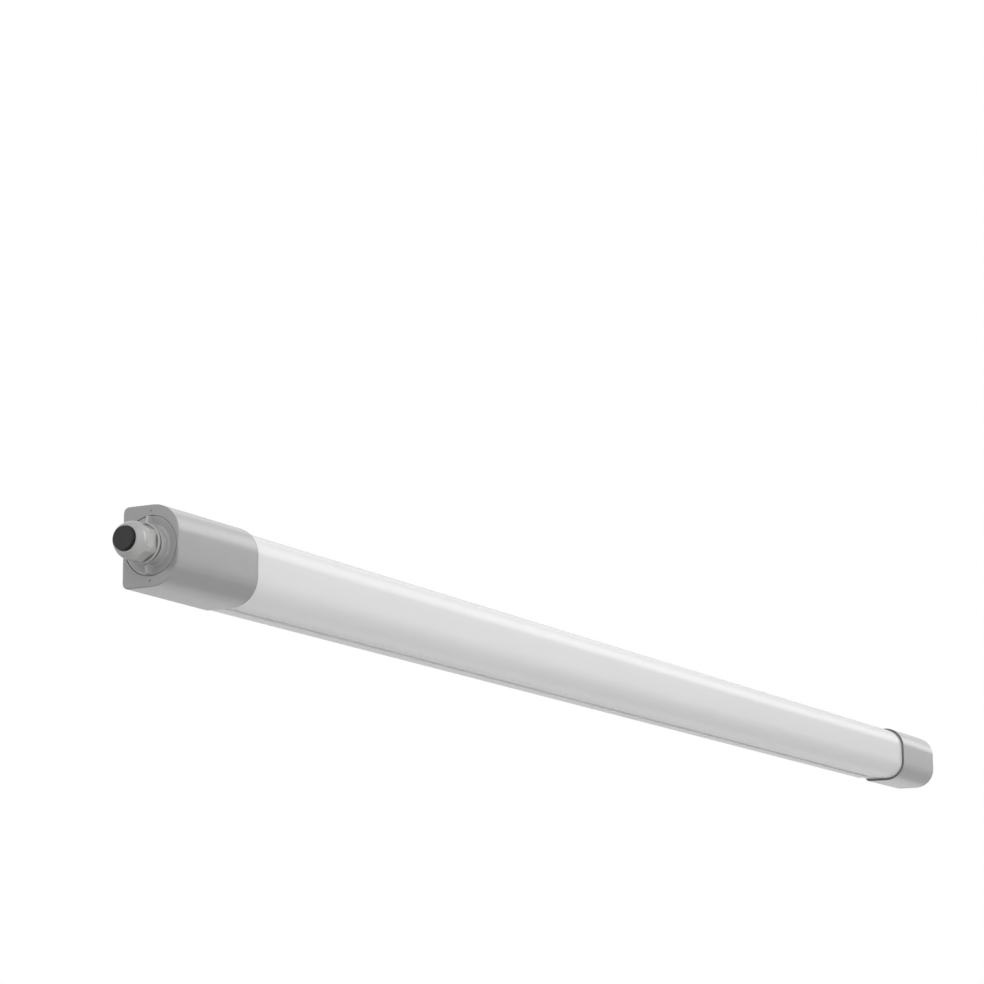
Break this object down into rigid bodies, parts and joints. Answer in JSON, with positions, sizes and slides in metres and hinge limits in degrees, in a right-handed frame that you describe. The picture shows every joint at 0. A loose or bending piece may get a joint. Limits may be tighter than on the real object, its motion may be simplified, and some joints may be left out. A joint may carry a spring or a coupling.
{
  "type": "sensor ceiling light",
  "caption": "Long slim damp-room light: opal tube between grey end caps, built-in motion sensor, twist-lock connection disc and cable gland at one end.",
  "frame": {"origin": "middle of the light's length, on the mounting plane at mid-height of the flat back", "axes": "+X along the light from the feed end to the blind end, +Y from the front towards the wall or ceiling it hangs on, +Z up as the picture shows it; on a ceiling the light is turned a quarter turn about X so that +Y points up"},
  "size_m": [1.5014, 0.0435, 0.055],
  "materials": {
    "silver_grey_plastic": "satin, moulded",
    "light_grey_plastic": "semi-gloss, moulded",
    "opal_plastic": "satin opal extrusion",
    "black_plastic": "matt",
    "dark_rubber": "matt",
    "aluminium": "satin extrusion",
    "white_plastic": "matt moulded",
    "white_board": "white solder mask",
    "green_board": "green solder mask",
    "tinned_steel": "tinned",
    "orange_plastic": "satin moulded",
    "ivory_plastic": "satin moulded",
    "brass": "plain",
    "zinc_steel": "zinc plated",
    "brown_insulation": "smooth",
    "blue_insulation": "smooth",
    "green_insulation": "smooth",
    "red_insulation": "smooth",
    "black_insulation": "smooth",
    "grey_insulation": "smooth"
  },
  "bodies": {
    "housing": {"diffuser_tube": "opal_plastic", "feed_end_cap": "silver_grey_plastic", "blind_end_cap": "silver_grey_plastic", "feed_cap_gasket": "dark_rubber", "blind_cap_gasket": "dark_rubber", "gear_tray": "aluminium", "feed_tray_holder": "white_plastic", "blind_tray_holder": "white_plastic", "driver_case": "zinc_steel", "driver_cover": "zinc_steel", "driver_input_terminal": "ivory_plastic", "driver_output_terminal": "ivory_plastic", "driver_screw_1": "zinc_steel", "driver_screw_2": "zinc_steel", "earth_screw": "zinc_steel", "earth_tag": "zinc_steel", "supply_terminal": "ivory_plastic", "sensor_cradle": "white_plastic", "sensor_board": "green_board", "sensor_antenna": "white_board", "sensor_shield": "tinned_steel", "live_wire": "brown_insulation", "neutral_wire": "blue_insulation", "earth_wire": "green_insulation", "led_lead_positive": "red_insulation", "led_lead_negative": "black_insulation", "sensor_lead": "grey_insulation", "led_board_1": "white_board", "led_board_2": "white_board", "led_board_3": "white_board", "led_board_4": "white_board", "board_link_1": "white_plastic", "supply_contact_1": "brass", "board_link_2": "white_plastic", "supply_contact_2": "brass", "board_link_3": "white_plastic", "supply_contact_3": "brass"},
    "connection_disc": {"connection_disc": "silver_grey_plastic", "disc_seal": "dark_rubber", "gland_body": "light_grey_plastic", "gland_insert": "dark_rubber", "gland_locknut": "light_grey_plastic"},
    "blanking_plug": {"blanking_plug": "black_plastic"},
    "gland_nut": {"gland_nut": "light_grey_plastic"},
    "reach_dial": {"reach_dial": "orange_plastic"},
    "time_dial": {"time_dial": "orange_plastic"},
    "twilight_dial": {"twilight_dial": "orange_plastic"},
    "release_button_1": {"release_button_1": "orange_plastic"},
    "release_button_2": {"release_button_2": "orange_plastic"},
    "release_button_3": {"release_button_3": "orange_plastic"}
  },
  "joints": [
    {"name": "connection_disc_turn", "type": "hinge", "parent": "housing", "child": "connection_disc", "pos_m": [-0.735, -0.0216, 0], "axis": [-1, 0, 0], "range_deg": [0, 45]},
    {"name": "plug_travel", "type": "slide", "parent": "connection_disc", "child": "blanking_plug", "axis": [-1, 0, 0], "range_m": [0, 0.00225]},
    {"name": "gland_nut_turn", "type": "hinge", "parent": "blanking_plug", "child": "gland_nut", "pos_m": [-0.735, -0.0216, 0], "axis": [-1, 0, 0], "range_deg": [0, 540]},
    {"name": "reach_dial_turn", "type": "hinge", "parent": "housing", "child": "reach_dial", "pos_m": [-0.618, -0.0288, -0.0095], "axis": [0, -1, 0], "range_deg": [0, 270]},
    {"name": "time_dial_turn", "type": "hinge", "parent": "housing", "child": "time_dial", "pos_m": [-0.618, -0.0288, 0], "axis": [0, -1, 0], "range_deg": [0, 270]},
    {"name": "twilight_dial_turn", "type": "hinge", "parent": "housing", "child": "twilight_dial", "pos_m": [-0.618, -0.0288, 0.0095], "axis": [0, -1, 0], "range_deg": [0, 270]},
    {"name": "release_button_1_press", "type": "slide", "parent": "housing", "child": "release_button_1", "axis": [1, 0, 0], "range_m": [0, 0.0012], "stiffness_N_per_m": 1500},
    {"name": "release_button_2_press", "type": "slide", "parent": "housing", "child": "release_button_2", "axis": [1, 0, 0], "range_m": [0, 0.0012], "stiffness_N_per_m": 1500},
    {"name": "release_button_3_press", "type": "slide", "parent": "housing", "child": "release_button_3", "axis": [1, 0, 0], "range_m": [0, 0.0012], "stiffness_N_per_m": 1500}
  ],
  "couplings": [
    {"joint": "plug_travel", "follows": "gland_nut_turn", "m_per_rad": 0.00023873}
  ]
}
